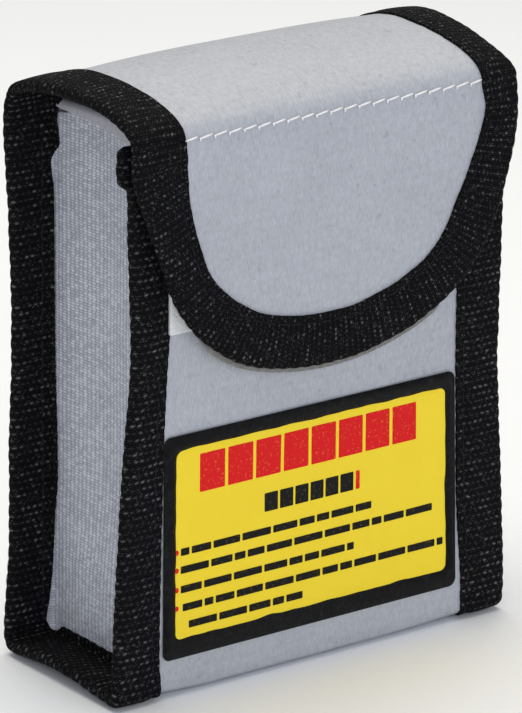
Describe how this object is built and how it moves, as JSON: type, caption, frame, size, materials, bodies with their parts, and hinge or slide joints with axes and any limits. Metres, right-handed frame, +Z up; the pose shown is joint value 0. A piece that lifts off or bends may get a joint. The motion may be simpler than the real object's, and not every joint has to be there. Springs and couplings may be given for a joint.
{
  "type": "fire-resistant battery storage pouch",
  "caption": "Small upright pouch of silver coated cloth with recessed side gussets, black bound seams, a front label and a hook-and-loop flap; stores or charges lithium packs.",
  "frame": {"origin": "On the ground under the middle of the closed pouch's bounding box.", "axes": "+Z up from the base to the flap's crown, -Y out of the labelled front, +X to the right when the front is seen upright; the left and right halves mirror across X = 0."},
  "size_m": [0.095, 0.0462, 0.1229],
  "materials": {
    "silver_cloth": "silver-grey coated glass-fibre cloth, fine plain weave with a soft sheen",
    "lining_cloth": "pale grey woven lining, matte",
    "black_tape": "black woven binding tape with a fine herringbone glint",
    "yellow_patch": null,
    "black_thread": "black polyester thread",
    "white_thread": "white thread, slightly glossy",
    "hook_and_loop": "light grey hook-and-loop fastener"
  },
  "bodies": {
    "pouch": {"outer_wrap": "silver_cloth", "wrap_lining": "lining_cloth", "left_gusset": "silver_cloth", "right_gusset": "silver_cloth", "left_gusset_lining": "lining_cloth", "right_gusset_lining": "lining_cloth", "left_gusset_hem": "silver_cloth", "right_gusset_hem": "silver_cloth", "left_seam_binding": "black_tape", "right_seam_binding": "black_tape", "left_front_seam_thread": "black_thread", "left_back_seam_thread": "black_thread", "right_front_seam_thread": "black_thread", "right_back_seam_thread": "black_thread", "mouth_binding": "black_tape", "loop_strip": "hook_and_loop", "label_border": "black_thread", "label_patch": "yellow_patch"},
    "flap_top": {"flap_top_panel": "silver_cloth", "flap_top_lining": "lining_cloth", "flap_top_left_binding": "black_tape", "flap_top_right_binding": "black_tape", "fold_thread": "white_thread"},
    "flap_front": {"flap_front_panel": "silver_cloth", "flap_front_lining": "lining_cloth", "flap_front_binding": "black_tape", "hook_strip": "hook_and_loop", "flap_rim_thread": "black_thread"}
  },
  "joints": [
    {"name": "flap_hinge", "type": "hinge", "parent": "pouch", "child": "flap_top", "pos_m": [0, 0.0224, 0.11435], "axis": [-1, 0, 0], "range_deg": [0, 200]},
    {"name": "flap_fold", "type": "hinge", "parent": "flap_top", "child": "flap_front", "pos_m": [0, -0.0224, 0.11495], "axis": [-1, 0, 0], "range_deg": [0, 95]}
  ]
}
